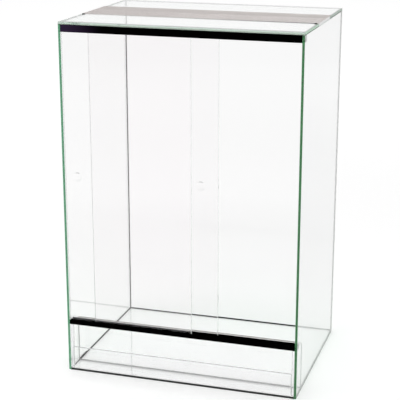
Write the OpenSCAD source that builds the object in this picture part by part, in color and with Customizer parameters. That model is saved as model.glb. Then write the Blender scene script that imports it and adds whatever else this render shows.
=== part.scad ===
// Glass reptile terrarium with two sliding doors and a set-back ventilated front.
// Origin: centre of the underside, on the surface the tank stands on.
// +Z is up, -Y is the door side and +X is to the right of someone facing the doors.

/* [Tank] */
// Outer width
tank_w = 400; // [360:1:600]
// Outer depth, from the front edges of the side panes to the outer face of the rear pane
tank_d = 300; // [260:1:450]
// Outer height, up to the top face of the top panes
tank_h = 599; // [500:1:800]
// Thickness of every fixed pane
glass_t = 4; // [3:0.5:6]
// Width of the ground arris along every glass edge
arris = 0.4; // [0.2:0.1:0.8]
// Thickness of the silicone between two bonded panes
seam_t = 0.6; // [0.4:0.1:1.5]
// Radius of the tooled silicone fillet in the inner corners
fillet_r = 1.2; // [0.8:0.1:4]

/* [Ventilated front] */
// Height of the low front strip
strip_h = 38.5; // [25:0.5:55]
// Height of the set-back vent pane and of the two track posts
vent_h = 79.5; // [70:0.1:110]
// Distance from the front of the tank to the front face of the vent pane
set_back = 36; // [28:1:60]
// Depth of a track post, front to back
post_d = 8; // [5:1:12]

/* [Tracks] */
// Thickness of a track's three fins
fin_t = 1.4; // [1:0.1:2]
// Clear width of one groove
groove_w = 5.4; // [4.8:0.1:6.5]
// Thickness of a track's web, behind the grooves
web_t = 1.6; // [1.2:0.1:2.5]
// Overall height of the lower track
lower_track_h = 8; // [7:0.5:9]
// Overall height of the upper track
upper_track_h = 11.5; // [10:0.5:18]
// Height of the two glide ribs on each groove floor of the lower track
rib_h = 0.3; // [0.2:0.1:0.6]
// Width of a glide rib
rib_w = 0.7; // [0.5:0.1:1]

/* [Doors] */
// Thickness of the door glass
door_t = 4; // [3:0.5:4.4]
// Width by which the closed doors overlap at the middle
door_overlap = 40.6; // [20:0.1:60]
// Gap between a door's edge and the side pane that it stops against
end_gap = 0.3; // [0.2:0.1:1]
// Running gap under a door, and spare height above it when it is lifted out
run_gap = 0.3; // [0.2:0.1:0.5]
// How far the right door stands open, measured from its closed place
right_door_open = 132; // [0:1:140]

/* [Finger pulls] */
// Diameter of the ground finger pull
pull_d = 16; // [10:1:24]
// Depth of the ground finger pull at its centre
pull_depth = 1.2; // [0.6:0.1:1.8]
// Height of the finger pulls above the underside of the tank
pull_z = 345; // [250:1:420]
// Distance of the left pull from the left door's outer edge
left_pull_in = 21; // [14:1:45]
// Distance of the right pull from the right door's outer edge
right_pull_in = 29; // [14:1:45]

/* [Top ventilation] */
// Depth of the front top pane
top_front_d = 103; // [70:1:115]
// Clear depth of the vent opening between the two top panes
vent_gap = 87; // [60:1:120]
// How far the mesh laps over the front top pane
lap_front = 4; // [3:0.5:20]
// How far the mesh laps over the rear top pane
lap_rear = 13; // [4:0.5:20]

/* [Mesh] */
// Thickness of the vent mesh sheets
mesh_t = 0.6; // [0.5:0.1:1.5]
// Side of one square gap in the mesh
mesh_gap = 10; // [8:0.5:14]
// Width of the metal left between two gaps
mesh_bar = 3; // [2:0.5:5]
// Plain margin round the mesh, at its narrowest
mesh_edge = 4; // [3:0.5:8]
// Width of the dark silicone bead along the front edge of the top mesh
bead_w = 0.8; // [0.6:0.1:3]
// Diameter of the silicone dab at each front corner of the top mesh
dab_d = 4; // [3:0.5:8]
// Height of the silicone dab above the front top pane
dab_h = 1.2; // [0.6:0.1:1.5]
// Distance of a dab's centre from the end of the top mesh
dab_in = 4; // [4:0.5:12]

/* [Hidden] */
$fn = 48;

glass = [0.80, 0.90, 0.85, 0.45];
track_black = [0.05, 0.05, 0.06];
metal_grey = [0.72, 0.71, 0.70];
clear_silicone = [0.88, 0.90, 0.90, 0.8];
dark_silicone = [0.12, 0.12, 0.12];

// Side to side
outer_x = tank_w / 2;
inner_x = outer_x - glass_t;
bonded_x = inner_x - seam_t;
post_in_x = bonded_x - glass_t;
strip_x = post_in_x - seam_t;

// Front to back
front_y = -tank_d / 2;
rear_y = tank_d / 2;
rear_in_y = rear_y - glass_t;
base_rear_y = rear_in_y - seam_t;
vent_y = front_y + set_back;
vent_gap_y = front_y + top_front_d;
top_rear_y = vent_gap_y + vent_gap;

// Floor to top
base_top = glass_t;
bonded_z = base_top + seam_t;
vent_top = bonded_z + vent_h;
top_under = tank_h - glass_t;
side_h = top_under - seam_t;

// Tracks
track_d = 3 * fin_t + 2 * groove_w;
front_groove_y = front_y + fin_t + groove_w / 2;
rear_groove_y = front_groove_y + groove_w + fin_t;
lower_track_z = vent_top + mesh_t;
lower_lip = lower_track_z + lower_track_h;
rib_top = lower_track_z + web_t + rib_h;
upper_track_z = side_h - upper_track_h;
groove_roof = side_h - web_t;

// Doors. Lifted to the groove roof, a door's lower edge clears the lower track's lip.
door_w = inner_x - end_gap + door_overlap / 2;
door_z = rib_top + run_gap;
lift = lower_lip + run_gap - door_z;
door_h = groove_roof - run_gap - lift - door_z;
left_door_x = -inner_x + end_gap;
right_door_x = inner_x - end_gap - door_w - right_door_open;
pull_r = (pull_d * pull_d / 4 + pull_depth * pull_depth) / (2 * pull_depth);

// Mesh sheets
top_mesh_y = vent_gap_y - lap_front;
top_mesh_d = lap_front + vent_gap + lap_rear;
lower_mesh_y = front_y + fin_t;
lower_mesh_d = vent_y + glass_t - lower_mesh_y;
dab_r = (dab_d * dab_d / 4 + dab_h * dab_h) / (2 * dab_h);
dab_x = outer_x - dab_in;
bead_end_x = dab_x - dab_d / 2 - seam_t;

// A rectangle with its four corners cut off at 45 degrees by the arris
module arris_outline(w, h) {
    polygon([
        [arris, 0],
        [w - arris, 0],
        [w, arris],
        [w, h - arris],
        [w - arris, h],
        [arris, h],
        [0, h - arris],
        [0, arris]
    ]);
}

// A glass pane from the origin, with a ground arris along its twelve edges
module pane(size) {
    intersection() {
        linear_extrude(height = size[2])
            arris_outline(size[0], size[1]);
        translate([0, size[1], 0])
            rotate([90, 0, 0])
                linear_extrude(height = size[1])
                    arris_outline(size[0], size[2]);
        rotate([90, 0, 90])
            linear_extrude(height = size[0])
                arris_outline(size[1], size[2]);
    }
}

// A flat sheet from the origin, with as many whole square gaps as fit inside its margin
module mesh_sheet(w, d) {
    pitch = mesh_gap + mesh_bar;
    across = floor((w - 2 * mesh_edge + mesh_bar) / pitch);
    deep = floor((d - 2 * mesh_edge + mesh_bar) / pitch);
    side_margin = (w - across * pitch + mesh_bar) / 2;
    end_margin = (d - deep * pitch + mesh_bar) / 2;
    linear_extrude(height = mesh_t)
        difference() {
            square([w, d]);
            for (i = [0 : across - 1], j = [0 : deep - 1])
                translate([side_margin + i * pitch, end_margin + j * pitch])
                    square(mesh_gap);
        }
}

// The concave cross-section of a tooled bead, in the corner at the origin
module fillet_section() {
    difference() {
        square(fillet_r);
        translate([fillet_r, fillet_r])
            circle(r = fillet_r);
    }
}

// A bead along +Y from the origin, filling the corner between the +X and +Z directions
module fillet_y(length) {
    translate([0, length, 0])
        rotate([90, 0, 0])
            linear_extrude(height = length)
                fillet_section();
}

// A bead along +X from the origin, filling the corner between the +Y and +Z directions
module fillet_x(length) {
    rotate([90, 0, 90])
        linear_extrude(height = length)
            fillet_section();
}

// Repeats its children on the left and the right side
module both_sides() {
    children();
    mirror([1, 0, 0])
        children();
}

// One fin of a track: round at its free end, from the web at y = 0 up to y = reach
module fin_section(reach) {
    square([fin_t, reach - fin_t / 2]);
    translate([fin_t / 2, reach - fin_t / 2])
        circle(d = fin_t);
}

// Cross-section of a double-groove track, lying on its web
module track_section(height, ribs) {
    square([track_d, web_t]);
    for (i = [0 : 2])
        translate([i * (fin_t + groove_w), 0])
            fin_section(height);
    if (ribs)
        for (i = [0 : 1], side = [-1, 1])
            translate([fin_t + groove_w / 2 + i * (fin_t + groove_w) + side * door_t / 4 - rib_w / 2, 0])
                square([rib_w, web_t + rib_h]);
}

// A door with its ground finger pull in the front face, at pull_x from the left edge
module door(pull_x) {
    difference() {
        pane([door_w, door_t, door_h]);
        translate([pull_x, pull_depth - pull_r, pull_z - door_z])
            sphere(r = pull_r, $fn = 180);
    }
}

module base_pane() {
    color(glass)
        translate([-bonded_x, front_y, 0])
            pane([2 * bonded_x, base_rear_y - front_y, glass_t]);
}

module side_pane() {
    translate([inner_x, front_y, 0])
        pane([glass_t, tank_d, side_h]);
}

module left_side_pane() {
    color(glass)
        mirror([1, 0, 0])
            side_pane();
}

module right_side_pane() {
    color(glass)
        side_pane();
}

module rear_pane() {
    color(glass)
        translate([-bonded_x, rear_in_y, 0])
            pane([2 * bonded_x, glass_t, side_h]);
}

module top_front_pane() {
    color(glass)
        translate([-outer_x, front_y, top_under])
            pane([tank_w, top_front_d, glass_t]);
}

module top_rear_pane() {
    color(glass)
        translate([-outer_x, top_rear_y, top_under])
            pane([tank_w, rear_y - top_rear_y, glass_t]);
}

// The low strip in front of the air intake, between the two track posts
module front_strip() {
    color(glass)
        translate([-strip_x, front_y, bonded_z])
            pane([2 * strip_x, glass_t, strip_h]);
}

// The set-back pane that holds the substrate and carries the rear of the lower mesh
module vent_pane() {
    color(glass)
        translate([-bonded_x, vent_y, bonded_z])
            pane([2 * bonded_x, glass_t, vent_h]);
}

// A narrow glass post beside the side pane, under one end of the lower track
module track_post() {
    translate([post_in_x, front_y, bonded_z])
        pane([glass_t, post_d, vent_h]);
}

module left_track_post() {
    color(glass)
        mirror([1, 0, 0])
            track_post();
}

module right_track_post() {
    color(glass)
        track_post();
}

module lower_track() {
    color(track_black)
        translate([-inner_x, front_y, lower_track_z])
            rotate([90, 0, 90])
                linear_extrude(height = 2 * inner_x)
                    track_section(lower_track_h, true);
}

// The upper track hangs from the front top pane, with deeper grooves for lifting a door out
module upper_track() {
    color(track_black)
        translate([-inner_x, front_y, side_h])
            mirror([0, 0, 1])
                rotate([90, 0, 90])
                    linear_extrude(height = 2 * inner_x)
                        track_section(upper_track_h, false);
}

module left_door() {
    color(glass)
        translate([left_door_x, front_groove_y - door_t / 2, door_z])
            door(left_pull_in);
}

module right_door() {
    color(glass)
        translate([right_door_x, rear_groove_y - door_t / 2, door_z])
            door(door_w - right_pull_in);
}

// The lower mesh lies on the posts and the vent pane, with the lower track on its front part
module lower_mesh() {
    color(metal_grey)
        translate([-bonded_x, lower_mesh_y, vent_top])
            mesh_sheet(2 * bonded_x, lower_mesh_d);
}

module top_mesh() {
    color(metal_grey)
        translate([-outer_x, top_mesh_y, tank_h])
            mesh_sheet(tank_w, top_mesh_d);
}

// Bond lines and inner fillets between the base and the side panes. Past the vent pane
// the fillet runs to the rear pane, and in front of it the trough has none.
module base_side_seams() {
    fillet_start = vent_y + glass_t;
    color(dark_silicone)
        both_sides() {
            translate([-inner_x, front_y, 0])
                cube([seam_t, rear_in_y - front_y, glass_t]);
            translate([-inner_x, fillet_start, base_top])
                fillet_y(rear_in_y - fillet_start);
        }
}

module base_rear_seam() {
    reach = inner_x - fillet_r;
    color(dark_silicone) {
        translate([-bonded_x, base_rear_y, 0])
            cube([2 * bonded_x, seam_t, glass_t]);
        translate([reach, rear_in_y, base_top])
            rotate([0, 0, 180])
                fillet_x(2 * reach);
    }
}

module rear_corner_seams() {
    color(dark_silicone)
        both_sides() {
            translate([-inner_x, rear_in_y, 0])
                cube([seam_t, glass_t, side_h]);
            translate([-inner_x, rear_in_y, base_top + fillet_r])
                rotate([0, 0, -90])
                    linear_extrude(height = side_h - base_top - fillet_r)
                        fillet_section();
        }
}

// Bond lines under the front top pane, on the side panes and on the upper track
module top_front_seams() {
    color(dark_silicone) {
        both_sides()
            translate([-outer_x, front_y, side_h])
                cube([glass_t, top_front_d, seam_t]);
        translate([-inner_x, front_y, side_h])
            cube([2 * inner_x, track_d, seam_t]);
    }
}

// Bond lines under the rear top pane, on the side panes and on the rear pane
module top_rear_seams() {
    color(clear_silicone) {
        both_sides()
            translate([-outer_x, top_rear_y, side_h])
                cube([glass_t, rear_y - top_rear_y, seam_t]);
        translate([-inner_x, rear_in_y, side_h])
            cube([2 * inner_x, glass_t, seam_t]);
    }
}

// Bond line under the low strip and up its two ends
module front_strip_seam() {
    color(clear_silicone) {
        translate([-post_in_x, front_y, base_top])
            cube([2 * post_in_x, glass_t, seam_t]);
        both_sides()
            translate([strip_x, front_y, bonded_z])
                cube([seam_t, glass_t, strip_h]);
    }
}

// Bond line under the set-back pane and up its two ends, with a fillet behind its foot
module vent_pane_seam() {
    reach = inner_x - fillet_r;
    color(clear_silicone) {
        translate([-inner_x, vent_y, base_top])
            cube([2 * inner_x, glass_t, seam_t]);
        both_sides()
            translate([bonded_x, vent_y, bonded_z])
                cube([seam_t, glass_t, vent_h]);
        translate([-reach, vent_y + glass_t, base_top])
            fillet_x(2 * reach);
    }
}

module track_post_seams() {
    color(clear_silicone)
        both_sides() {
            translate([bonded_x, front_y, base_top])
                cube([seam_t, post_d, vent_h + seam_t]);
            translate([post_in_x, front_y, base_top])
                cube([glass_t, post_d, seam_t]);
        }
}

// Clear silicone that closes the step between the side panes' upper edges and the mesh
module mesh_end_seals() {
    color(clear_silicone)
        both_sides()
            translate([inner_x, vent_gap_y, side_h])
                cube([glass_t, vent_gap, tank_h - side_h]);
}

// Silicone along the front edge of the mesh, from one corner dab to the other
module mesh_front_bead() {
    color(dark_silicone)
        translate([-bead_end_x, top_mesh_y, tank_h])
            rotate([90, 0, 90])
                linear_extrude(height = 2 * bead_end_x)
                    intersection() {
                        circle(r = bead_w);
                        translate([-bead_w, 0])
                            square([bead_w, mesh_t]);
                    }
}

// A dab on the pane, against the front edge of the mesh
module mesh_corner_dabs() {
    color(dark_silicone)
        both_sides()
            translate([dab_x, top_mesh_y - dab_d / 2, tank_h])
                intersection() {
                    translate([0, 0, dab_h - dab_r])
                        sphere(r = dab_r, $fn = 48);
                    translate([-dab_d / 2, -dab_d / 2, 0])
                        cube([dab_d, dab_d, dab_h]);
                }
}

base_pane();
left_side_pane();
right_side_pane();
rear_pane();
top_front_pane();
top_rear_pane();
front_strip();
vent_pane();
left_track_post();
right_track_post();
lower_track();
upper_track();
left_door();
right_door();
lower_mesh();
top_mesh();
base_side_seams();
base_rear_seam();
rear_corner_seams();
top_front_seams();
top_rear_seams();
front_strip_seam();
vent_pane_seam();
track_post_seams();
mesh_end_seals();
mesh_front_bead();
mesh_corner_dabs();
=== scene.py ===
# %% [markdown]
# # A frameless glass terrarium in Blender
# The real object is a tall tank glued from ten panes of 4 mm float glass. Two glass doors slide in black
# plastic tracks, fine metal gauze closes the two vents, and silicone fills every joint. Almost all of it is
# clear, so this lesson is mostly about glass: why its faces vanish, and why its edges turn green, grey or
# black.

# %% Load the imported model
import math
import bmesh
import bpy
from mathutils import Matrix, Vector


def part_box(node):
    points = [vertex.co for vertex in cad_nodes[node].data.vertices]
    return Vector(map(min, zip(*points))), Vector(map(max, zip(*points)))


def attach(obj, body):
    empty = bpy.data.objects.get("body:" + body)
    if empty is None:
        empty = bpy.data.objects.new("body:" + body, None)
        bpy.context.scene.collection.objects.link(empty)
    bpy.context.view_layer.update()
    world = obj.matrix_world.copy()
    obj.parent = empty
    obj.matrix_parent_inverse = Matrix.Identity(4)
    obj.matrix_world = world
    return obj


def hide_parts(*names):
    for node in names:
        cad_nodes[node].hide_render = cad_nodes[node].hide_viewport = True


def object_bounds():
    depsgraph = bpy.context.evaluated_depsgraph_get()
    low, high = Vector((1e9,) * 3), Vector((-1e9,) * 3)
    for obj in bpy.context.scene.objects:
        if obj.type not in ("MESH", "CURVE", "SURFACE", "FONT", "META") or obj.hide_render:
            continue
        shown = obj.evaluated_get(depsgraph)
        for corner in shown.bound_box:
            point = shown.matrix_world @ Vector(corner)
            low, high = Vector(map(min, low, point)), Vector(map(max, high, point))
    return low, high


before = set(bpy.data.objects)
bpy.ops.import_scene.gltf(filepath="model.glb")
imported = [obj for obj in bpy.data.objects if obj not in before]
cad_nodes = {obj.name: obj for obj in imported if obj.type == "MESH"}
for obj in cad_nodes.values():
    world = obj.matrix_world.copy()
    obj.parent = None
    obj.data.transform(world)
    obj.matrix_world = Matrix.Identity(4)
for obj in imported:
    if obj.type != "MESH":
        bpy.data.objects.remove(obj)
cad_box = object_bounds()

# %% [markdown]
# ## The camera
# The outer edges and corners of the tank were read off the photograph, and a pinhole camera was fitted to
# them. It could also be turned by hand until the lines meet, but a fit is quicker and finer. The camera
# stands a little to the right of the tank and looks down on it, so its right side pane is seen at a slant.
# A long lens keeps the verticals almost parallel.

# %% Camera
CAMERA_PLACE = Vector((0.5709, -1.8834, 0.8593))
CAMERA_AZIMUTH = 0.29922
CAMERA_ELEVATION = 0.28642
CAMERA_ROLL = 0.00001
FOCAL_PIXELS = 1187.31
PHOTO_PIXELS = 400
SENSOR_MM = 36.0


def camera_turn(azimuth, elevation, roll):
    """The rotation of a camera that looks back at the origin's side from this azimuth and elevation."""
    right = Vector((math.cos(azimuth), math.sin(azimuth), 0))
    back = Vector((math.sin(azimuth) * math.cos(elevation),
                   -math.cos(azimuth) * math.cos(elevation),
                   math.sin(elevation)))
    up = back.cross(right)
    turn = Matrix((right, up, back)).transposed()
    return (turn @ Matrix.Rotation(roll, 3, "Z")).to_4x4()


scene = bpy.context.scene
camera_data = bpy.data.cameras.new("photo_camera")
camera_data.sensor_width = SENSOR_MM
camera_data.lens = FOCAL_PIXELS / PHOTO_PIXELS * SENSOR_MM
camera = bpy.data.objects.new("photo_camera", camera_data)
turned = camera_turn(CAMERA_AZIMUTH, CAMERA_ELEVATION, CAMERA_ROLL)
camera.matrix_world = Matrix.Translation(CAMERA_PLACE) @ turned
scene.collection.objects.link(camera)
scene.camera = camera
print("lens:", round(camera_data.lens, 2), "mm")

# %% [markdown]
# ## Helpers for node trees
# Every finish below is a small graph of nodes. The first helper makes one node, sets its plain values and
# draws its wires, so that a material reads from top to bottom like a recipe. The others are short names for
# the nodes that come back most: arithmetic, a change of range, and a mix of two colours.


# %% Node helpers
def add_node(tree, kind, settings=None, **inputs):
    """Makes a node. A value that is a socket is wired in, and any other is typed into the socket."""
    made = tree.nodes.new(kind)
    for name, value in (settings or {}).items():
        setattr(made, name, value)
    for name, value in inputs.items():
        key = int(name[1:]) if name[0] == "i" and name[1:].isdigit() else name.replace("_", " ")
        socket = made.inputs[key]
        if isinstance(value, bpy.types.NodeSocket):
            tree.links.new(value, socket)
        else:
            socket.default_value = value
    return made


def math_node(tree, operation, first, second=0.0, clamp=False):
    """One arithmetic node, given as its result socket."""
    settings = {"operation": operation, "use_clamp": clamp}
    return add_node(tree, "ShaderNodeMath", settings, i0=first, i1=second).outputs[0]


def change_range(tree, value, before, after, smooth=False):
    """Moves a value from one (low, high) range to another, with soft ends if smooth."""
    settings = {"interpolation_type": "SMOOTHSTEP" if smooth else "LINEAR"}
    return add_node(tree, "ShaderNodeMapRange", settings, Value=value, From_Min=before[0], From_Max=before[1],
                    To_Min=after[0], To_Max=after[1]).outputs[0]


def mix_colours(tree, mask, first, second):
    """The first colour where the mask is 0 and the second where it is 1."""
    return add_node(tree, "ShaderNodeMix", {"data_type": "RGBA"}, Factor=mask, i6=first, i7=second).outputs[2]


def grain(tree, place, scale, **settings):
    """A noise over the surface, as a value round 0.5."""
    return add_node(tree, "ShaderNodeTexNoise", Vector=place, Scale=scale, **settings).outputs["Fac"]


def new_material(name):
    """An empty node material and its output node."""
    material = bpy.data.materials.new(name)
    material.use_nodes = True
    material.node_tree.nodes.clear()
    output = material.node_tree.nodes.new("ShaderNodeOutputMaterial")
    return material, material.node_tree, output


FULL_RANGE = (0.0, 1.0)
print("helpers ready")

# %% [markdown]
# ## The studio
# The tank stands on a white sweep that has no visible end. Glass shows whatever is round it, so the world
# has to be white for every ray that draws the picture: camera rays, and what glass and metal pass on. For
# the rays that light the solid pieces it is dimmer, so that a colour renders about as it is written. One
# even white would be simpler, but it would light those pieces too strongly.

# %% World
WORLD_LIGHT = 0.62
WHITE = (1, 1, 1, 1)


def seen_rays(tree):
    """1 for rays that draw the picture: camera rays and what glass and metal pass on."""
    path = add_node(tree, "ShaderNodeLightPath")
    pair = math_node(tree, "ADD", path.outputs["Is Camera Ray"], path.outputs["Is Glossy Ray"], clamp=True)
    return math_node(tree, "ADD", pair, path.outputs["Is Transmission Ray"], clamp=True)


world = bpy.data.worlds.new("white_studio")
world.use_nodes = True
world.node_tree.nodes.clear()
world_level = math_node(world.node_tree, "MULTIPLY_ADD", seen_rays(world.node_tree), 1.0 - WORLD_LIGHT)
world_level.node.inputs[2].default_value = WORLD_LIGHT
world_shader = add_node(world.node_tree, "ShaderNodeBackground", Color=WHITE, Strength=world_level)
world_output = world.node_tree.nodes.new("ShaderNodeOutputWorld")
world.node_tree.links.new(world_shader.outputs[0], world_output.inputs["Surface"])
scene.world = world
print("world light:", WORLD_LIGHT)

# %% [markdown]
# ## The floor
# In the photograph the floor is paper that turns plain white a short way from the tank, with a soft grey
# shadow at its foot. A diffuse sheet takes that shadow, and a glow of its own, for the same picture rays
# alone, lifts it to white with distance. An evenly white floor would be simpler, but the tank would seem to
# float. The glow has two corrections. Under the base it is stronger, because two layers of glass shade the
# paper there. Seen through glass it is a little weaker, by an amount that changes with distance, so that a
# pane shows as a faint grey tone against the open floor.

# %% Floor sheet
FLOOR_HALF = 9.0
FLOOR_DROP = 0.0004
floor_mesh = bpy.data.meshes.new("floor")
floor_signs = ((-1, -1), (1, -1), (1, 1), (-1, 1))
floor_corners = [(x * FLOOR_HALF, y * FLOOR_HALF, -FLOOR_DROP) for x, y in floor_signs]
floor_mesh.from_pydata(floor_corners, [], [(0, 1, 2, 3)])
floor = bpy.data.objects.new("floor", floor_mesh)
scene.collection.objects.link(floor)
print("floor:", 2 * FLOOR_HALF, "m square")

# %% Floor glow
FLOOR_COLOUR = (0.80, 0.80, 0.80, 1)
NEAR_GLOW = 0.175
MIDDLE_GLOW = 0.155
FAR_GLOW = 0.48
NEAR_RING = (0.25, 0.5)
FAR_RING = (0.5, 3.0)
BASE_FRONT_GLOW = 0.30
BASE_BACK_GLOW = 0.145
BASE_FRONT_ENDS = -0.085
DIM_REACH = 5.0
DIM_THROUGH_GLASS = [
    (0.45, 0.042), (0.75, 0.052), (1.0, 0.010), (1.2, 0.012),
    (2.0, 0.058), (2.6, 0.086), (3.0, 0.088), (4.0, 0.045)
]


def under_base(tree, place):
    """The extra glow under the tank: strongest along its front edge, even further back, and 0 outside."""
    parts = add_node(tree, "ShaderNodeSeparateXYZ", Vector=place)
    inside_x = math_node(tree, "LESS_THAN", math_node(tree, "ABSOLUTE", parts.outputs["X"]), cad_box[1][0])
    inside_y = math_node(tree, "LESS_THAN", math_node(tree, "ABSOLUTE", parts.outputs["Y"]), cad_box[1][1])
    front_to_back = (cad_box[0][1], BASE_FRONT_ENDS)
    front = change_range(tree, parts.outputs["Y"], front_to_back, (BASE_FRONT_GLOW, BASE_BACK_GLOW))
    return math_node(tree, "MULTIPLY", math_node(tree, "MULTIPLY", inside_x, inside_y), front)


def dim_through_glass(tree, reach):
    """What the glow loses where a pane is in front of it, read off a ramp by distance."""
    ramp_node = add_node(tree, "ShaderNodeValToRGB", Fac=math_node(tree, "DIVIDE", reach, DIM_REACH))
    ramp = ramp_node.color_ramp
    for distance, dim in DIM_THROUGH_GLASS:
        ramp.elements.new(distance / DIM_REACH).color = (dim, dim, dim, 1)
    ramp.elements[0].color = ramp.elements[1].color
    ramp.elements[-1].color = ramp.elements[-2].color
    path = add_node(tree, "ShaderNodeLightPath")
    return math_node(tree, "MULTIPLY", path.outputs["Is Transmission Ray"], ramp_node.outputs["Color"])


sweep, sweep_tree, sweep_output = new_material("white_sweep")
sweep_place = add_node(sweep_tree, "ShaderNodeTexCoord").outputs["Object"]
sweep_length = add_node(sweep_tree, "ShaderNodeVectorMath", {"operation": "LENGTH"}, i0=sweep_place)
sweep_reach = sweep_length.outputs["Value"]
far_part = change_range(sweep_tree, sweep_reach, FAR_RING, (MIDDLE_GLOW, FAR_GLOW), smooth=True)
near_part = change_range(sweep_tree, sweep_reach, NEAR_RING, (NEAR_GLOW - MIDDLE_GLOW, 0.0), smooth=True)
glow = math_node(sweep_tree, "ADD", far_part, near_part)
glow = math_node(sweep_tree, "ADD", glow, under_base(sweep_tree, sweep_place))
glow = math_node(sweep_tree, "SUBTRACT", glow, dim_through_glass(sweep_tree, sweep_reach))
glow = math_node(sweep_tree, "MULTIPLY", seen_rays(sweep_tree), glow)
paper = add_node(sweep_tree, "ShaderNodeBsdfDiffuse", Color=FLOOR_COLOUR)
shine = add_node(sweep_tree, "ShaderNodeEmission", Color=WHITE, Strength=glow)
sweep_sum = add_node(sweep_tree, "ShaderNodeAddShader", i0=paper.outputs[0], i1=shine.outputs[0])
sweep_tree.links.new(sweep_sum.outputs[0], sweep_output.inputs["Surface"])
floor_mesh.materials.append(sweep)
print("glow:", NEAR_GLOW, "near,", FAR_GLOW, "far")

# %% [markdown]
# ## The lamps
# Two wide lamps, one above and one at the left, light the solid pieces and draw the soft shadow. A small
# lamp would give a hard one. Glass doesn't show them, because their outlines would hang in the white.

# %% Lamps
LAMPS = [
    ("top_softbox", (0.0, -0.2, 2.4), 2.2, 34.0),
    ("left_softbox", (-2.2, -1.2, 1.5), 1.6, 12.0)
]
LAMP_TARGET = Vector((0, 0, 0.3))
for lamp_name, lamp_place, lamp_size, lamp_watts in LAMPS:
    lamp_data = bpy.data.lights.new(lamp_name, "AREA")
    lamp_data.size = lamp_size
    lamp_data.energy = lamp_watts
    lamp = bpy.data.objects.new(lamp_name, lamp_data)
    lamp.location = lamp_place
    lamp.rotation_euler = (LAMP_TARGET - Vector(lamp_place)).to_track_quat("-Z", "Y").to_euler()
    lamp.visible_camera = False
    lamp.visible_transmission = False
    scene.collection.objects.link(lamp)
    print(lamp_name, lamp_watts, "W")
scene.view_settings.view_transform = "Standard"

# %% [markdown]
# ## How far light travels in glass
# Float glass holds a little iron, which takes red light first. Straight through 4 mm of it nothing shows,
# but a ray that enters at an edge bounces between the two faces like light in a fibre and comes out after
# 100 to 400 mm, deep green. The edges could simply be painted green. A Volume Absorption inside each pane
# does it by itself, and rightly from every side, if rays may bounce often enough.

# %% Light paths
MOST_BOUNCES = 128
scene.cycles.max_bounces = MOST_BOUNCES
scene.cycles.transmission_bounces = MOST_BOUNCES
scene.cycles.glossy_bounces = MOST_BOUNCES
scene.cycles.transparent_max_bounces = MOST_BOUNCES
GREEN_DENSITY = 20.0
PASSED_COLOUR = (0.67, 0.92, 0.755, 1)
print("bounces:", MOST_BOUNCES)

# %% [markdown]
# ## Telling a pane's faces apart
# A pane has two broad polished faces, ground edges all round, and between them the arrises, narrow bevels
# that take the sharpness off. Material slots on single faces would tell them apart too, but a face's own
# direction already does, so one group turns the normal into masks for every pane. Two more masks pick out
# what looks down, which is an underside or the upper lip of a finger pull, and what looks left, which is a
# door's end.

# %% Pane faces
BROAD_LEAST = 0.8
STRAIGHT_LEAST = 0.95
LEFT_MOST = -0.5
DOWNWARDS = (-0.23, -0.18)


def make_face_kinds():
    """A group that gives a mask for each kind of face of a pane, by the way that the face looks."""
    group = bpy.data.node_groups.new("pane_faces", "ShaderNodeTree")
    group.interface.new_socket(name="Broad Axis", in_out="INPUT", socket_type="NodeSocketVector")
    for name in ("Edge", "Arris", "Facing Down", "Left End"):
        group.interface.new_socket(name=name, in_out="OUTPUT", socket_type="NodeSocketFloat")
    start = group.nodes.new("NodeGroupInput")
    end = group.nodes.new("NodeGroupOutput")
    facing = add_node(group, "ShaderNodeTexCoord").outputs["Normal"]
    axis = start.outputs["Broad Axis"]
    dot = add_node(group, "ShaderNodeVectorMath", {"operation": "DOT_PRODUCT"}, i0=facing, i1=axis)
    broad = math_node(group, "ABSOLUTE", dot.outputs["Value"])
    parts = add_node(group, "ShaderNodeSeparateXYZ", Vector=facing)
    sides = [math_node(group, "ABSOLUTE", parts.outputs[i]) for i in range(3)]
    largest = math_node(group, "MAXIMUM", math_node(group, "MAXIMUM", sides[0], sides[1]), sides[2])
    down = change_range(group, parts.outputs["Z"], DOWNWARDS, (1.0, 0.0))
    on_face = math_node(group, "GREATER_THAN", broad, BROAD_LEAST)
    masks = {
        "Edge": math_node(group, "LESS_THAN", broad, BROAD_LEAST),
        "Arris": math_node(group, "LESS_THAN", largest, STRAIGHT_LEAST),
        "Facing Down": math_node(group, "MULTIPLY", down, on_face),
        "Left End": math_node(group, "LESS_THAN", parts.outputs["X"], LEFT_MOST)
    }
    for name, mask in masks.items():
        group.links.new(mask, end.inputs[name])
    return group


face_kinds = make_face_kinds()
print("group:", face_kinds.name)

# %% [markdown]
# ## Wipe marks and grinding
# Glass that is perfectly smooth looks like a drawing. Real panes keep a trace of the last cloth on their
# faces, and their edges are ground, which leaves them finely matt. Both are changes of roughness, so no
# shape is needed, and one group serves every pane with its own amounts.

# %% Glass surface
CLOTH_SCALE = 9.0
CLOTH_RANGE = (0.5, 0.8)
GRIT_SCALE = 1600.0
ARRIS_ROUGHNESS = 0.35


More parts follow.
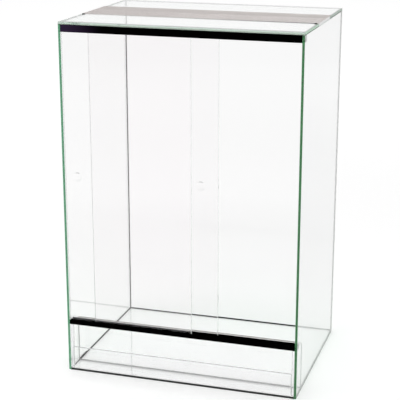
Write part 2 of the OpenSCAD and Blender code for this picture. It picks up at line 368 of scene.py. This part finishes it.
def make_glass_surface():
    """A group for the feel of a pane: faint wipe marks on its faces, fine grinding on its edges."""
    group = bpy.data.node_groups.new("glass_surface", "ShaderNodeTree")
    for name in ("Edge", "Arris", "Wipe", "Grind"):
        group.interface.new_socket(name=name, in_out="INPUT", socket_type="NodeSocketFloat")
    for name in ("Roughness", "Height"):
        group.interface.new_socket(name=name, in_out="OUTPUT", socket_type="NodeSocketFloat")
    start = group.nodes.new("NodeGroupInput")
    end = group.nodes.new("NodeGroupOutput")
    place = add_node(group, "ShaderNodeTexCoord").outputs["Object"]
    swirl = grain(group, place, CLOTH_SCALE, Detail=5.0, Roughness=0.62, Distortion=1.4)
    wiped = change_range(group, swirl, CLOTH_RANGE, FULL_RANGE)
    film = math_node(group, "MULTIPLY", wiped, start.outputs["Wipe"])
    grit = grain(group, place, GRIT_SCALE, Detail=3.0)
    ground = math_node(group, "MULTIPLY", grit, start.outputs["Grind"])
    edge_rough = math_node(group, "MULTIPLY", start.outputs["Edge"], ground)
    arris_rough = math_node(group, "MULTIPLY", start.outputs["Arris"], ARRIS_ROUGHNESS)
    rough = math_node(group, "MAXIMUM", math_node(group, "MAXIMUM", film, edge_rough), arris_rough)
    group.links.new(rough, end.inputs["Roughness"])
    group.links.new(math_node(group, "MULTIPLY", grit, start.outputs["Edge"]), end.inputs["Height"])
    return group


glass_surface = make_glass_surface()
print("group:", glass_surface.name)

# %% [markdown]
# ## Float glass
# The panes are the CAD solids themselves, with real thickness, so they bend and mirror light as panes do.
# The Principled shader is pure glass with an index of 1.5. Rays towards a lamp can't pass a bending
# surface, so for shadow rays alone the glass turns into a faintly green, plain see-through sheet. A thin
# see-through sheet for every ray would render faster, but it would have no shining edges.

# %% Glass recipe
GLASS_INDEX = 1.5
SHADE_THROUGH_PANE = (0.985, 0.99, 0.987, 1)
GRIT_BUMP = 0.05
GRIT_HEIGHT = 0.00003
SIDEWAYS = (1, 0, 0)
FORWARDS = (0, 1, 0)
UPWARDS = (0, 0, 1)


def make_glass(name, broad_axis, face, edge, density=GREEN_DENSITY, wipe=0.006, grind=0.12, gloss=1.0,
               down=None, left_end=None, arris=None):
    """A pane of float glass whose broad faces look along broad_axis. Each colour tints one kind of face."""
    material, tree, output = new_material(name)
    faces = add_node(tree, "ShaderNodeGroup", {"node_tree": face_kinds}, Broad_Axis=broad_axis).outputs
    surface = add_node(tree, "ShaderNodeGroup", {"node_tree": glass_surface}, Edge=faces["Edge"],
                       Arris=faces["Arris"], Wipe=wipe, Grind=grind)
    bump = add_node(tree, "ShaderNodeBump", Height=surface.outputs["Height"], Strength=GRIT_BUMP,
                    Distance=GRIT_HEIGHT)
    # The edge tint is a painted reflection of what an edge looks into. Of the colours below, facing down is
    # painted shade, and left end and arris are painted reflection.
    tint = mix_colours(tree, faces["Edge"], (*face, 1), (*edge, 1))
    for mask, colour in (("Facing Down", down), ("Left End", left_end), ("Arris", arris)):
        if colour:
            tint = mix_colours(tree, faces[mask], tint, (*colour, 1))
    glass = add_node(tree, "ShaderNodeBsdfPrincipled", Base_Color=tint, IOR=GLASS_INDEX,
                     Roughness=surface.outputs["Roughness"], Transmission_Weight=1.0,
                     Specular_Tint=(gloss, gloss, gloss, 1), Normal=bump.outputs[0])
    clear = add_node(tree, "ShaderNodeBsdfTransparent", Color=SHADE_THROUGH_PANE)
    path = add_node(tree, "ShaderNodeLightPath")
    both = add_node(tree, "ShaderNodeMixShader", i0=path.outputs["Is Shadow Ray"], i1=glass.outputs[0],
                    i2=clear.outputs[0])
    inside = add_node(tree, "ShaderNodeVolumeAbsorption", Color=PASSED_COLOUR, Density=density)
    tree.links.new(both.outputs[0], output.inputs["Surface"])
    tree.links.new(inside.outputs[0], output.inputs["Volume"])
    return material


print("glass index:", GLASS_INDEX)

# %% [markdown]
# ## One batch of glass, many edges
# In the photograph the edges of the side panes are green, those of the top panes pale grey, and the edge of
# the base nearly black, since each looks into another mix of white room, black track and silicone. Light
# that travels in the solids gives part of this. The rest is a painted reflection: a tint on each pane's own
# edges, on the arrises of the top panes and on each door's left end. A single glass for all of them would be
# simpler, but it couldn't follow the photograph pane by pane. The right side pane and the right door also get
# a darker face tint than their neighbours, which is painted shade. Where an edge stays pale, a low density
# stands for a clearer way through the glass. The undersides of the level panes and the upper lip of each
# finger pull are a little darker, which is painted shade. The rear pane's gloss is turned down, because the
# photograph shows no mirror image of the lower track in it.

# %% Side and rear glass
SIDE_FACE = (1.0, 0.98, 0.993)
left_glass = make_glass("left_pane_glass", SIDEWAYS, SIDE_FACE, (0.80, 0.555, 0.86))
# The right pane's face tint is darker than the left pane's, a painted shade.
right_glass = make_glass("right_pane_glass", SIDEWAYS, (0.955, 0.92, 0.945), (0.19, 0.27, 0.22))
post_glass = make_glass("post_glass", SIDEWAYS, SIDE_FACE, (1.0, 0.97, 1.0), density=4.0)
rear_glass = make_glass("rear_pane_glass", FORWARDS, SIDE_FACE, (0.4, 0.38, 0.39), gloss=0.15)
print("glass:", left_glass.name, right_glass.name, post_glass.name, rear_glass.name)

# %% Low front glass
LOW_FACE = (1.0, 0.99, 0.997)
strip_glass = make_glass("front_strip_glass", FORWARDS, LOW_FACE, (0.78, 0.76, 0.78), density=3.0)
vent_glass = make_glass("vent_pane_glass", FORWARDS, LOW_FACE, (1.0, 0.98, 1.0), density=1.0)
print("glass:", strip_glass.name, vent_glass.name)

# %% Level glass
TOP_FACE = (1.0, 0.997, 1.0)
# The underside colour is painted shade on the downward faces of the level panes.
UNDERSIDE_SHADE = (0.75, 0.76, 0.76)
LEVEL_WIPE = 0.004
top_glass = make_glass("top_pane_glass", UPWARDS, TOP_FACE, (0.76, 0.81, 0.78), density=5.0,
                       wipe=LEVEL_WIPE, down=UNDERSIDE_SHADE, arris=(0.25, 0.30, 0.27))
back_top_glass = make_glass("rear_top_glass", UPWARDS, TOP_FACE, (0.28, 0.31, 0.29), density=5.0,
                            wipe=LEVEL_WIPE, down=UNDERSIDE_SHADE, arris=(0.12, 0.14, 0.13))
base_glass = make_glass("base_pane_glass", UPWARDS, (1.0, 0.955, 0.985), (0.005, 0.005, 0.005),
                        wipe=LEVEL_WIPE, down=UNDERSIDE_SHADE)
print("glass:", top_glass.name, back_top_glass.name, base_glass.name)

# %% Door glass
# The pull lip colour is painted shade on the upper lip of each finger pull.
PULL_LIP_SHADE = (0.20, 0.20, 0.20)
CLEAR_EDGE = (1.0, 1.0, 1.0)
DOOR_WIPE = 0.008
DOOR_GRIND = 0.06
left_door_glass = make_glass("left_door_glass", FORWARDS, (1.0, 0.99, 0.995), CLEAR_EDGE, density=1.0,
                             wipe=DOOR_WIPE, grind=DOOR_GRIND, down=PULL_LIP_SHADE, left_end=(0.5, 0.49, 0.48))
# The right door's face tint is darker than the left door's, a painted shade.
right_door_glass = make_glass("right_door_glass", FORWARDS, (0.975, 0.966, 0.97), CLEAR_EDGE, density=1.0,
                              wipe=DOOR_WIPE, grind=DOOR_GRIND, down=PULL_LIP_SHADE, left_end=(0.2, 0.2, 0.2))
print("glass:", left_door_glass.name, right_door_glass.name)

# %% [markdown]
# ## Black track plastic
# The two tracks are extruded, which leaves fine lines along their length and an even satin skin. Handling
# and the doors polish the fins a little, so the gloss isn't the same all over. At the left end of the upper
# track a violet haze is painted into the colour, a painted reflection that thins out towards the right. On
# the lower track the same painted haze would lie beyond its left end, so it has none. A noise that is
# stretched along X gives the lines, and a plain one the wear.

# %% Track plastic
TRACK_BLACK = (0.0002, 0.0002, 0.0002, 1)
TRACK_WORN = (0.0006, 0.0006, 0.0006, 1)
TRACK_VIOLET_SHEEN = (0.032, 0.018, 0.046, 1)
TRACK_SHEEN = 0.004
TRACK_ROUGHNESS = (0.34, 0.52)
SHEEN_STREAKS = (0.35, 1.65)
DRAWN_LINES = (2.0, 900.0, 900.0)
LINE_BUMP = 0.25
LINE_HEIGHT = 0.0001
BLOTCH_SCALE = 38.0
UPPER_SHEEN_SPAN = (-0.205, -0.12)
LOWER_SHEEN_SPAN = (-0.40, -0.30)


def make_track_plastic(name, sheen_span):
    """Black extruded plastic with lines along X, and a painted violet reflection that thins out between the
    two places along X.
    """
    material, tree, output = new_material(name)
    place = add_node(tree, "ShaderNodeTexCoord").outputs["Object"]
    drawn = add_node(tree, "ShaderNodeMapping", Vector=place, Scale=DRAWN_LINES)
    lines = grain(tree, drawn.outputs[0], 1.0, Detail=4.0)
    blotch = grain(tree, place, BLOTCH_SCALE, Detail=4.0)
    worn = mix_colours(tree, blotch, TRACK_BLACK, TRACK_WORN)
    parts = add_node(tree, "ShaderNodeSeparateXYZ", Vector=place)
    # The violet colour mixed in below is a painted reflection, fading out towards the right along X.
    sheen_fade = change_range(tree, parts.outputs["X"], sheen_span, (1.0, 0.0), smooth=True)
    streaks = change_range(tree, lines, FULL_RANGE, SHEEN_STREAKS)
    dust_and_sheen = math_node(tree, "MULTIPLY", sheen_fade, streaks, clamp=True)
    sheened = mix_colours(tree, dust_and_sheen, worn, TRACK_VIOLET_SHEEN)
    rough = change_range(tree, blotch, FULL_RANGE, TRACK_ROUGHNESS)
    bump = add_node(tree, "ShaderNodeBump", Height=lines, Strength=LINE_BUMP, Distance=LINE_HEIGHT)
    plastic = add_node(tree, "ShaderNodeBsdfPrincipled", Base_Color=sheened, Roughness=rough,
                       Specular_IOR_Level=TRACK_SHEEN, Normal=bump.outputs[0])
    tree.links.new(plastic.outputs[0], output.inputs["Surface"])
    return material


upper_plastic = make_track_plastic("upper_track_plastic", UPPER_SHEEN_SPAN)
lower_plastic = make_track_plastic("lower_track_plastic", LOWER_SHEEN_SPAN)
print("plastic:", upper_plastic.name, lower_plastic.name)

# %% [markdown]
# ## Silicone
# Silicone is squeezed into each joint and smoothed with a wet finger, so its skin is glossy and slightly
# wavy. The structural joints are black. Those round the small front panes are clear, and the seams under the
# vent pane and the rear top pane are drawn dark grey and nearly opaque. The seals at the ends of the gauze
# are milky white. The bead in front of the gauze thins out to nothing towards the left. Real see-through
# rubber would need light to pass inside it. Here plain coverage does, because these beads are only a pixel or
# two wide.

# %% Silicone recipe
RUBBER_INDEX = 1.41
RUBBER_ROUGHNESS = (0.22, 0.42)
WAVE_BUMP = 0.3
WAVE_HEIGHT = 0.0004
SMEAR_FROM = -0.05


def make_silicone(name, thin, thick, cover=0.85, wave=150.0, sheen=0.5, left_cover=None):
    """Cured silicone with a tooled, slightly wavy skin, which may get thinner towards the left end."""
    material, tree, output = new_material(name)
    place = add_node(tree, "ShaderNodeTexCoord").outputs["Object"]
    waves = grain(tree, place, wave, Detail=3.0, Roughness=0.55)
    colour = mix_colours(tree, waves, (*thin, 1), (*thick, 1))
    rough = change_range(tree, waves, FULL_RANGE, RUBBER_ROUGHNESS)
    bump = add_node(tree, "ShaderNodeBump", Height=waves, Strength=WAVE_BUMP, Distance=WAVE_HEIGHT)
    rubber = add_node(tree, "ShaderNodeBsdfPrincipled", Base_Color=colour, Roughness=rough, IOR=RUBBER_INDEX,
                      Specular_IOR_Level=sheen, Alpha=cover, Normal=bump.outputs[0])
    if left_cover is not None:
        parts = add_node(tree, "ShaderNodeSeparateXYZ", Vector=place)
        smear = change_range(tree, parts.outputs["X"], (SMEAR_FROM, cad_box[1][0]), (left_cover, cover))
        tree.links.new(smear, rubber.inputs["Alpha"])
    tree.links.new(rubber.outputs[0], output.inputs["Surface"])
    return material


print("rubber index:", RUBBER_INDEX)

# %% Silicone materials
black_silicone = make_silicone("black_silicone", (0.001, 0.001, 0.001), (0.004, 0.004, 0.004),
                               cover=1.0, wave=120.0, sheen=0.08)
bead_silicone = make_silicone("bead_silicone", (0.10, 0.10, 0.10), (0.16, 0.16, 0.16),
                              cover=0.75, wave=90.0, sheen=0.1, left_cover=0.02)
clear_silicone = make_silicone("clear_sealant", (0.86, 0.89, 0.88), (0.93, 0.94, 0.94), cover=0.2)
foot_silicone = make_silicone("foot_silicone", (0.04, 0.045, 0.045), (0.08, 0.085, 0.085))
milky_silicone = make_silicone("milky_silicone", (0.96, 0.96, 0.96), (0.99, 0.99, 0.99))
print("silicone:", black_silicone.name, bead_silicone.name, clear_silicone.name)

# %% [markdown]
# ## Dressing the CAD solids
# Each CAD piece whose shape is right keeps its mesh and gets a finish in its own material slots. Drawing it
# again would only risk a shape that no longer fits its neighbours.

# %% Finishes by node
FINISH = {
    "base_pane": base_glass, "top_front_pane": top_glass, "top_rear_pane": back_top_glass,
    "left_side_pane": left_glass, "right_side_pane": right_glass,
    "left_track_post": post_glass, "right_track_post": post_glass,
    "rear_pane": rear_glass, "front_strip": strip_glass, "vent_pane": vent_glass,
    "left_door": left_door_glass, "right_door": right_door_glass,
    "lower_track": lower_plastic, "upper_track": upper_plastic
}
for node_name, finish in FINISH.items():
    node_mesh = cad_nodes[node_name].data
    node_mesh.materials.clear()
    node_mesh.materials.append(finish)
print("dressed:", len(FINISH), "nodes")

# %% [markdown]
# ## Silicone and the light inside a pane
# Light that runs along inside a pane is mirrored by its faces, and a bond line takes it away only where the
# rubber has wetted the glass. So each silicone piece is drawn a little smaller than its CAD solid, and
# through the thin gap of air the pane goes on shining along its edges. The seams along the base and in the
# rear corners are an exception. The photograph shows dark lines there, so they go on touching the base and
# the rear pane and only draw back from the side panes. Scaling each piece down would be simpler, but it
# would pull long seams away at their ends and leave them touching along their length.

# %% Silicone pieces
AIR_GAP = 0.00005
SHARPEST_CORNER = 2.0
SAME_PLACE = 0.000001
TOUCHING = ("base_side_seams", "base_rear_seam", "rear_corner_seams")
SILICONE = {
    "base_side_seams": black_silicone, "base_rear_seam": black_silicone, "rear_corner_seams": black_silicone,
    "top_front_seams": black_silicone, "mesh_front_bead": bead_silicone,
    "top_rear_seams": foot_silicone, "front_strip_seam": clear_silicone, "vent_pane_seam": foot_silicone,
    "track_post_seams": clear_silicone, "mesh_end_seals": milky_silicone
}
side_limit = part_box("right_side_pane")[0].x - AIR_GAP


def off_the_sides(corner):
    """How far a corner reaches past the side panes' air gap, along X."""
    return Vector((corner.co.x - max(-side_limit, min(side_limit, corner.co.x)), 0, 0))


def off_the_faces(corner):
    """The step along a corner's normal that moves the faces round it by the air gap."""
    return corner.normal * min(corner.calc_shell_factor(), SHARPEST_CORNER) * AIR_GAP


def shrunk_copy(node_name):
    """A copy of a CAD solid that is drawn back from the glass by the air gap."""
    shape = bmesh.new()
    shape.from_mesh(cad_nodes[node_name].data)
    bmesh.ops.remove_doubles(shape, verts=shape.verts, dist=SAME_PLACE)
    shape.normal_update()
    step = off_the_sides if node_name in TOUCHING else off_the_faces
    moves = [(corner, step(corner)) for corner in shape.verts]
    for corner, move in moves:
        corner.co -= move
    mesh = bpy.data.meshes.new(node_name + "_cured")
    shape.to_mesh(mesh)
    shape.free()
    piece = bpy.data.objects.new(node_name + "_cured", mesh)
    scene.collection.objects.link(piece)
    return piece


for node_name, finish in SILICONE.items():
    cured = shrunk_copy(node_name)
    cured.data.materials.append(finish)
    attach(cured, "tank")
    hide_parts(node_name)
print("silicone pieces:", len(SILICONE))

# %% [markdown]
# ## The corner dabs
# A dab of black silicone holds each front corner of the gauze. The CAD dabs are shallow caps of a ball,
# which almost vanish at the photograph's low angle. A real dab stands up steeply and is rounded only on
# top, so each is drawn again as a stack of rings, inside the same height.

# %% Corner dabs
DAB_RINGS = 7
DAB_POINTS = 24
DAB_STRETCH = 1.2
DAB_SIDE_POWER = 0.5
DAB_TOP_POWER = 0.7
DAB_TIP = 0.02


def full_dab(low, high):
    """A full round dab of silicone: flat below, steep at the sides and gently rounded on top."""
    middle = (low + high) / 2
    half = (high - low) / 2
    foot = low.z + AIR_GAP
    points = []
    faces = []
    for i in range(DAB_RINGS + 1):
        turn = math.pi / 2 * i / DAB_RINGS
        reach = max(math.cos(turn) ** DAB_SIDE_POWER, DAB_TIP)
        level = foot + (high.z - foot) * math.sin(turn) ** DAB_TOP_POWER
        for k in range(DAB_POINTS):
            angle = 2 * math.pi * k / DAB_POINTS
            points.append((middle.x + half.x * DAB_STRETCH * reach * math.cos(angle),
                           middle.y + half.y * reach * math.sin(angle), level))
        if i:
            ring = i * DAB_POINTS
            for k in range(DAB_POINTS):
                n = (k + 1) % DAB_POINTS
                faces.append((ring - DAB_POINTS + k, ring - DAB_POINTS + n, ring + n, ring + k))
    faces.append(tuple(reversed(range(DAB_POINTS))))
    faces.append(tuple(range(len(points) - DAB_POINTS, len(points))))
    return points, faces


dabs_low, dabs_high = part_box("mesh_corner_dabs")
dab_width = dabs_high.y - dabs_low.y
dab_points = []
dab_faces = []
for left_x in (dabs_low.x, dabs_high.x - dab_width):
    more_points, more_faces = full_dab(Vector((left_x, dabs_low.y, dabs_low.z)),
                                       Vector((left_x + dab_width, dabs_high.y, dabs_high.z)))
    first = len(dab_points)
    dab_points.extend(more_points)
    dab_faces.extend(tuple(first + n for n in face) for face in more_faces)
dab_mesh = bpy.data.meshes.new("mesh_corner_dabs_cured")
dab_mesh.from_pydata(dab_points, [], dab_faces)
dab_mesh.materials.append(black_silicone)
dabs = bpy.data.objects.new("mesh_corner_dabs_cured", dab_mesh)
scene.collection.objects.link(dabs)
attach(dabs, "tank")
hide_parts("mesh_corner_dabs")
print("dabs:", len(dab_faces), "faces")

# %% [markdown]
# ## The bead left in the corner
# Behind the vent pane, where the base meets the left side pane, the photograph shows a short, blacker line:
# a bead of silicone that the finger pushed along and left. It is a strip of rings with a hollow face,
# thickest in the middle. A curve with a bevel would be round, and would cut into the panes.

# %% Excess silicone
EXCESS_LENGTH = 0.034
EXCESS_WIDTH = 0.0020
EXCESS_CLIMB = 1.4
EXCESS_HOLLOW = 0.4
EXCESS_END = 0.35
EXCESS_SWELL = 0.4
EXCESS_RINGS = 12
EXCESS_BEHIND = 0.0004


def corner_excess(name, start, length, width):
    """A tapered bead along +Y that fills the corner between a floor and a wall on its left."""
    points = []
    faces = []
    for i in range(EXCESS_RINGS + 1):
        along = i / EXCESS_RINGS
        size = width * (EXCESS_END + (1 - EXCESS_END) * math.sin(math.pi * along) ** EXCESS_SWELL)
        climb = size * EXCESS_CLIMB
        foot = start + Vector((0, length * along, 0))
        hollow = foot + Vector((size * EXCESS_HOLLOW, 0, climb * EXCESS_HOLLOW))
        points.extend((foot, foot + Vector((size, 0, 0)), hollow, foot + Vector((0, 0, climb))))
        if i:
            ring = 4 * i
            for k in range(4):
                n = (k + 1) % 4
                faces.append((ring + k, ring + n, ring - 4 + n, ring - 4 + k))
    faces.append((0, 1, 2, 3))
    faces.append(tuple(reversed(range(len(points) - 4, len(points)))))
    mesh = bpy.data.meshes.new(name)
    mesh.from_pydata(points, [], faces)
    mesh.materials.append(black_silicone)
    piece = bpy.data.objects.new(name, mesh)
    scene.collection.objects.link(piece)
    return piece


side_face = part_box("left_side_pane")[1].x + AIR_GAP
base_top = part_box("base_pane")[1].z + AIR_GAP
excess_start = Vector((side_face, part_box("vent_pane")[1].y + EXCESS_BEHIND, base_top))
excess = corner_excess("left_corner_excess", excess_start, EXCESS_LENGTH, EXCESS_WIDTH)
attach(excess, "tank")
print("excess bead:", [round(v, 4) for v in excess_start])

# %% [markdown]
# ## Woven gauze
# The CAD model has a flat sheet with square gaps where the real vent has a fine plain weave. A pattern of
# transparency would be lighter, but it fails from the side. Here every wire is drawn: it passes over one
# crossing wire and under the next, so the sheet is two wires thick. A tube with three sides is enough,
# because a wire is thinner than a pixel. It has an edge on top, since a flat top would mirror the lamp
# above.

# %% Gauze metal
WIRE_BRIGHT = (0.55, 0.512, 0.50, 1)
WIRE_DUSTY = (0.455, 0.424, 0.415, 1)
WIRE_ROUGHNESS = (0.55, 0.75)
WIRE_METAL = 0.35
DUST_SCALE = 22.0


def make_gauze_metal():
    """Dull drawn wire, greyer where dust has settled."""
    material, tree, output = new_material("gauze_wire")
    place = add_node(tree, "ShaderNodeTexCoord").outputs["Object"]
    dust_and_sheen = grain(tree, place, DUST_SCALE, Detail=5.0)
    colour = mix_colours(tree, dust_and_sheen, WIRE_BRIGHT, WIRE_DUSTY)
    rough = change_range(tree, dust_and_sheen, FULL_RANGE, WIRE_ROUGHNESS)
    metal = add_node(tree, "ShaderNodeBsdfPrincipled", Base_Color=colour, Metallic=WIRE_METAL,
                     Roughness=rough)
    tree.links.new(metal.outputs[0], output.inputs["Surface"])
    return material


gauze_wire = make_gauze_metal()
print("metal:", gauze_wire.name)

# %% Gauze weaving
PITCH = 0.0017
SIDES = 3
EDGE_UP = 0.75


def woven_wire(points, faces, spot, along, across, count, first_up, wire):
    """Adds one wire of count crossings that starts at spot, runs along and weaves up and down."""
    for k in range(count + 1):
        height = wire / 2 * (1 if (k % 2 == 0) == first_up else -1)
        middle = spot + along * (k * PITCH) + Vector((0, 0, height))
        for s in range(SIDES):
            angle = 2 * math.pi * (s + EDGE_UP) / SIDES
            rise = Vector((0, 0, wire / 2 * math.sin(angle)))
            points.append(middle + across * (wire / 2 * math.cos(angle)) + rise)
        ring = len(points) - SIDES
        if k:
            for s in range(SIDES):
                n = (s + 1) % SIDES
                faces.append((ring - SIDES + s, ring - SIDES + n, ring + n, ring + s))
        else:
            faces.append(tuple(range(ring, ring + SIDES)))
    faces.append(tuple(reversed(range(len(points) - SIDES, len(points)))))


def weave(name, low, high):
    """A plain weave that fills the box from low to high, two wires thick."""
    points = []
    faces = []
    right = Vector((1, 0, 0))
    back = Vector((0, 1, 0))
    wire = (high.z - low.z) / 2
    middle_z = (low.z + high.z) / 2
    nx = int((high.x - low.x - wire) / PITCH)
    ny = int((high.y - low.y - wire) / PITCH)
    x0 = (low.x + high.x - nx * PITCH) / 2
    y0 = (low.y + high.y - ny * PITCH) / 2
    for i in range(nx + 1):
        woven_wire(points, faces, Vector((x0 + i * PITCH, y0, middle_z)), back, right, ny, i % 2 == 0, wire)
    for j in range(ny + 1):
        woven_wire(points, faces, Vector((x0, y0 + j * PITCH, middle_z)), right, back, nx, j % 2 == 1, wire)
    mesh = bpy.data.meshes.new(name)
    mesh.from_pydata(points, [], faces)
    mesh.materials.append(gauze_wire)
    piece = bpy.data.objects.new(name, mesh)
    scene.collection.objects.link(piece)
    print(name, "wires:", nx + ny + 2, "faces:", len(faces))
    return piece


for node_name in ("top_mesh", "lower_mesh"):
    gauze = weave(node_name + "_gauze", *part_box(node_name))
    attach(gauze, "tank")
    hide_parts(node_name)
